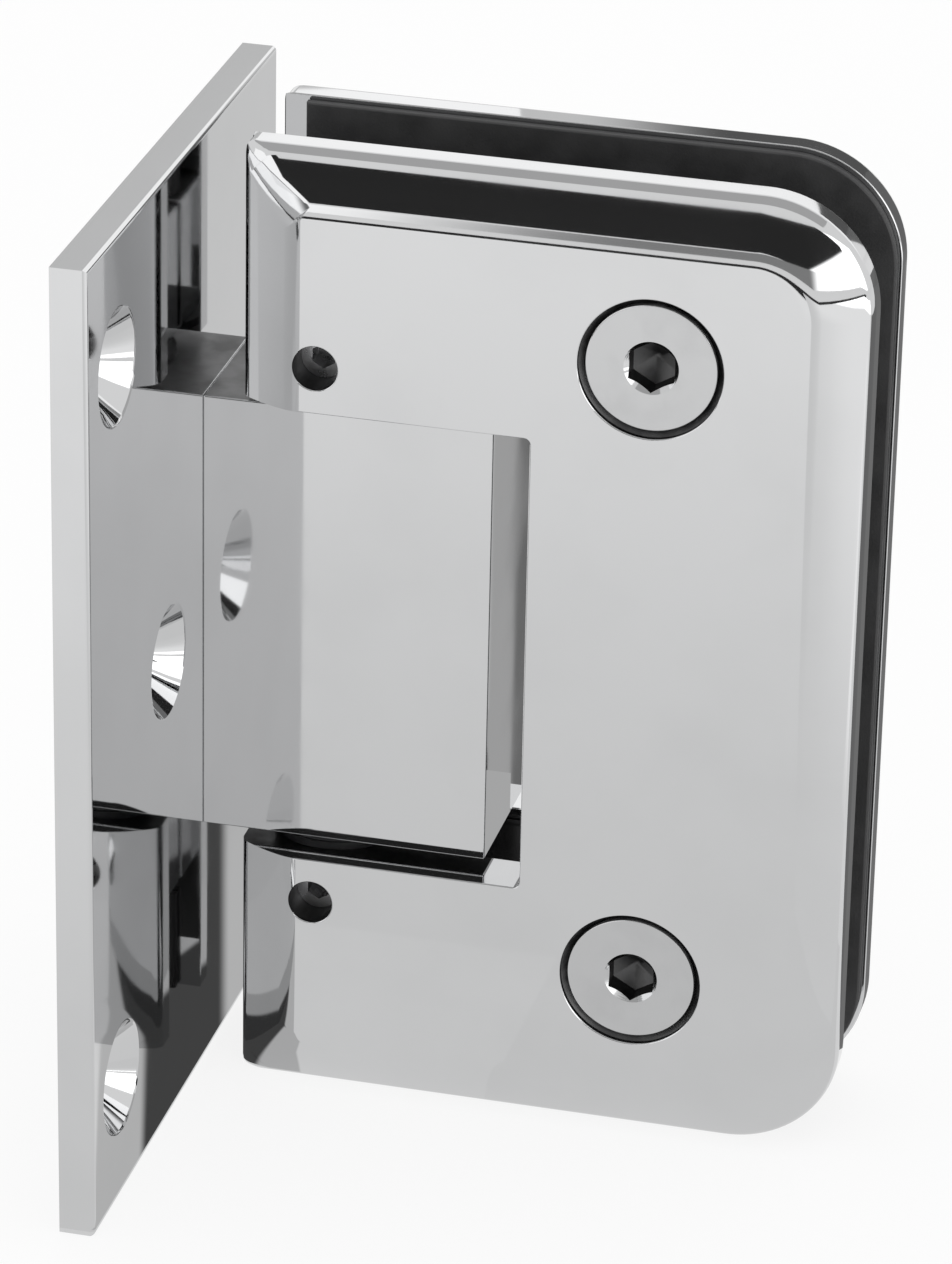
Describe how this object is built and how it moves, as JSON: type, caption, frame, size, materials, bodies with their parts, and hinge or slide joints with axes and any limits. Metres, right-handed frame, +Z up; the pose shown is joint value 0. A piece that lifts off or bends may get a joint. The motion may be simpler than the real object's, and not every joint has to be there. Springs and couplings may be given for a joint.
{
  "type": "glass door hinge",
  "caption": "Wall-to-glass shower door hinge: an offset wall plate with a pivot block, and bevelled clamp plates that grip a glass door and swing about a vertical pin.",
  "frame": {"origin": "on the wall plate's back face, level with the middle of the glass and the hinge's half height", "axes": "+X away from the wall along the glass, +Y to the back of the glass, +Z up along the pivot pin"},
  "size_m": [0.062, 0.056, 0.09],
  "materials": {
    "polished_chrome": "polished",
    "screw_chrome": "turned and plated",
    "screw_steel": "zinc plated",
    "pin_steel": "ground",
    "spring_steel": "drawn wire",
    "bush_nylon": "moulded",
    "gasket_rubber": "matt sheet"
  },
  "bodies": {
    "wall_side": {"wall_plate": "polished_chrome", "pivot_block": "polished_chrome", "block_screw_upper": "screw_steel", "block_screw_lower": "screw_steel", "pin_bush_upper": "bush_nylon", "pin_bush_lower": "bush_nylon", "plunger_upper": "pin_steel", "plunger_lower": "pin_steel", "plunger_spring_upper": "spring_steel", "plunger_spring_lower": "spring_steel"},
    "door_side": {"front_plate": "polished_chrome", "rear_plate": "polished_chrome", "front_gasket": "gasket_rubber", "rear_gasket": "gasket_rubber", "clamp_screw_upper": "screw_chrome", "clamp_screw_lower": "screw_chrome", "glass_sleeve_upper": "bush_nylon", "glass_sleeve_lower": "bush_nylon", "pivot_pin": "pin_steel", "pin_lock_screw_upper": "screw_steel", "pin_lock_screw_lower": "screw_steel"}
  },
  "joints": [
    {"name": "door_swing", "type": "hinge", "parent": "wall_side", "child": "door_side", "pos_m": [0.014, 0, 0], "axis": [0, 0, 1], "range_deg": [-90, 90]}
  ]
}
